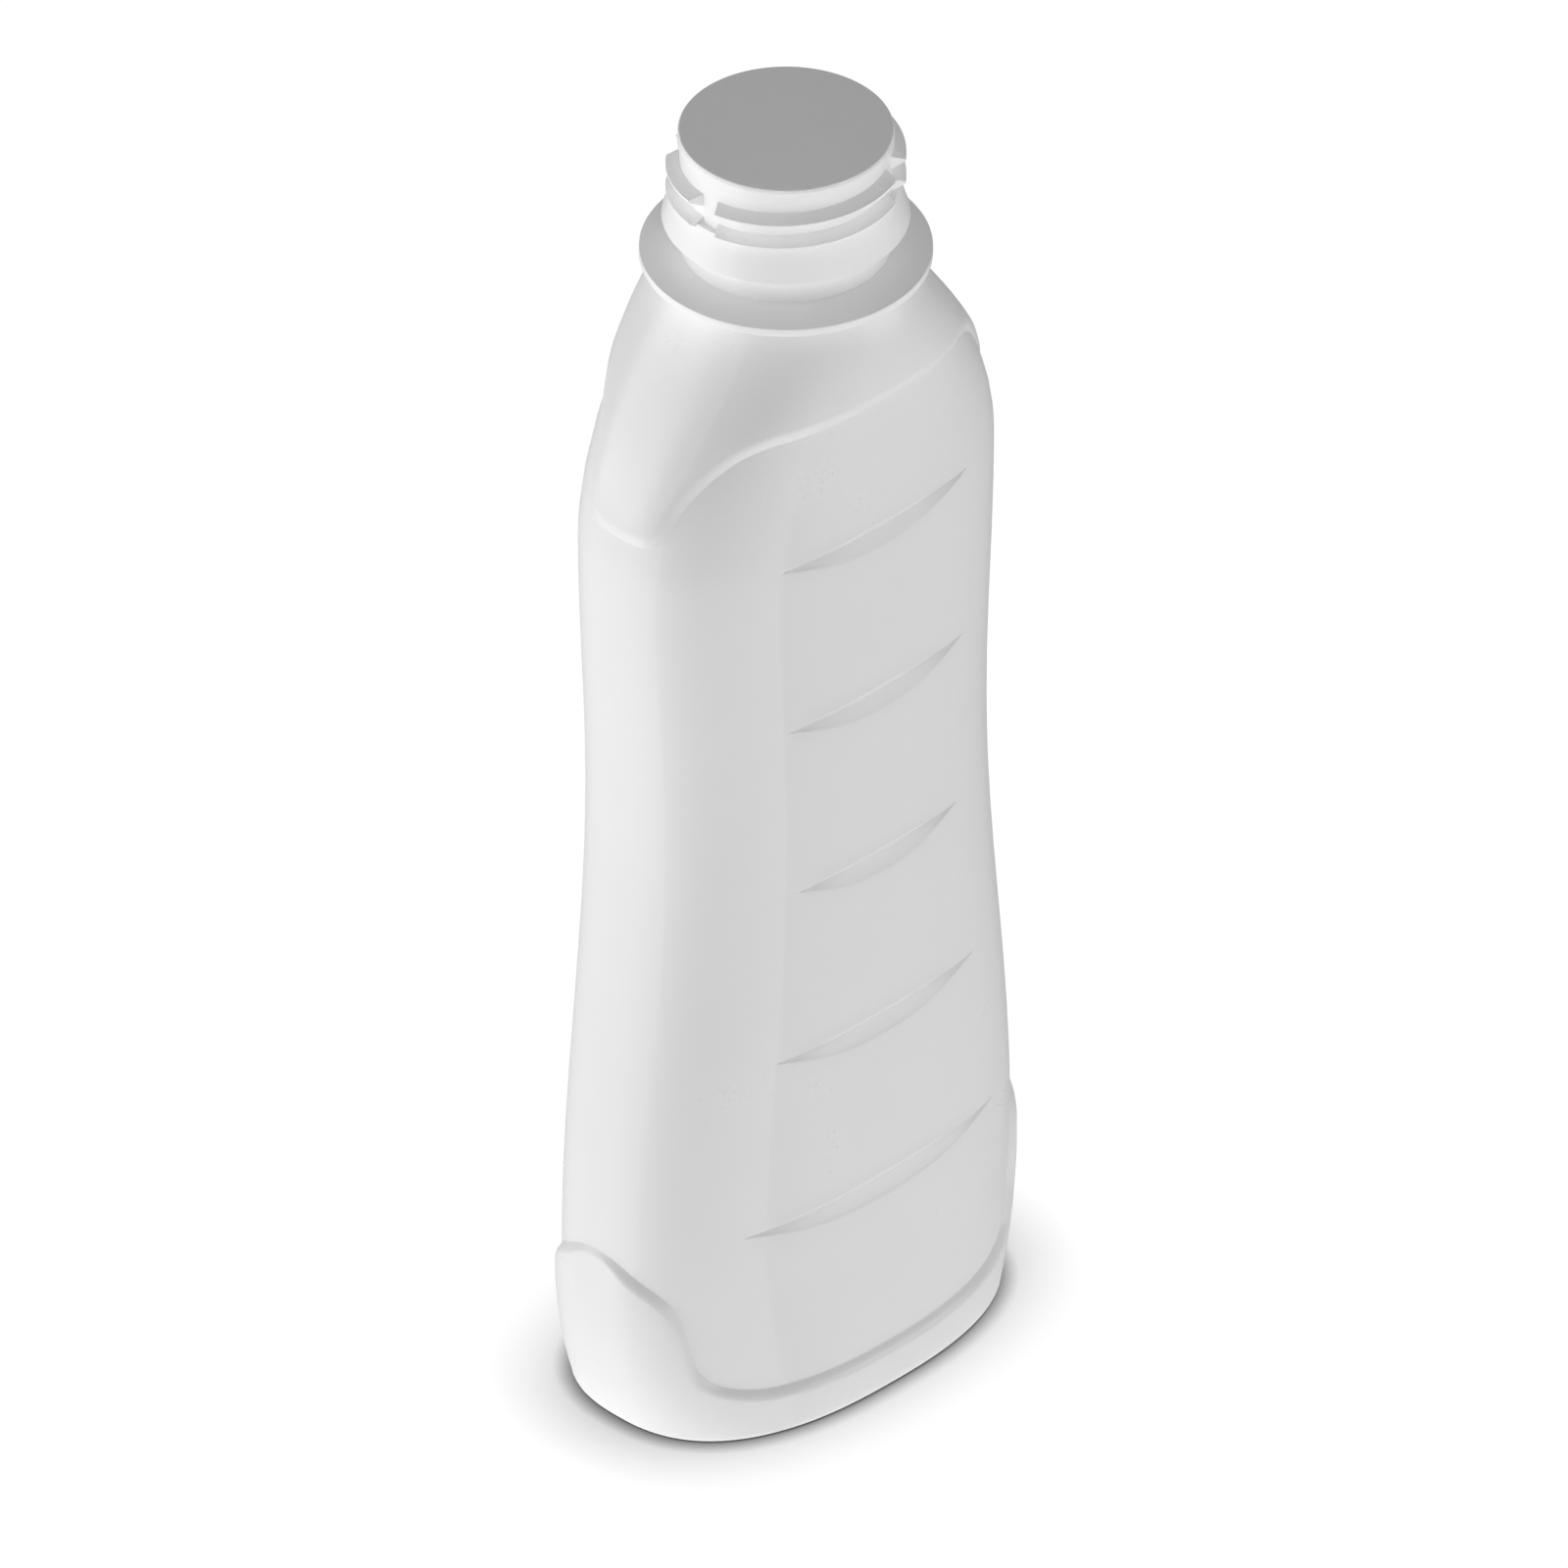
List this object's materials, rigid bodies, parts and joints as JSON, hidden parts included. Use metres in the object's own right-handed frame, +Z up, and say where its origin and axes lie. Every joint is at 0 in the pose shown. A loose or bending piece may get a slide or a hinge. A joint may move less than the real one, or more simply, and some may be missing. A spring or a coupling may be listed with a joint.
{
  "type": "oval screw-neck bottle",
  "caption": "Waisted oval household bottle with grip flutes on both broad faces, raised shoulder skirt and base band, and a screw neck closed by a bonded disc; no cap.",
  "frame": {"origin": "centre of the standing rim, on the surface the bottle stands on", "axes": "+Z up through the neck, X across the wide direction, Y across the narrow direction, broad fluted faces towards -Y and +Y"},
  "size_m": [0.0842, 0.0482, 0.227],
  "materials": {
    "bottle_plastic": "satin white moulded plastic",
    "seal_disc": "matt light grey bonded disc"
  },
  "bodies": {
    "root": {"bottle": "bottle_plastic", "mouth_seal": "seal_disc"}
  },
  "joints": []
}
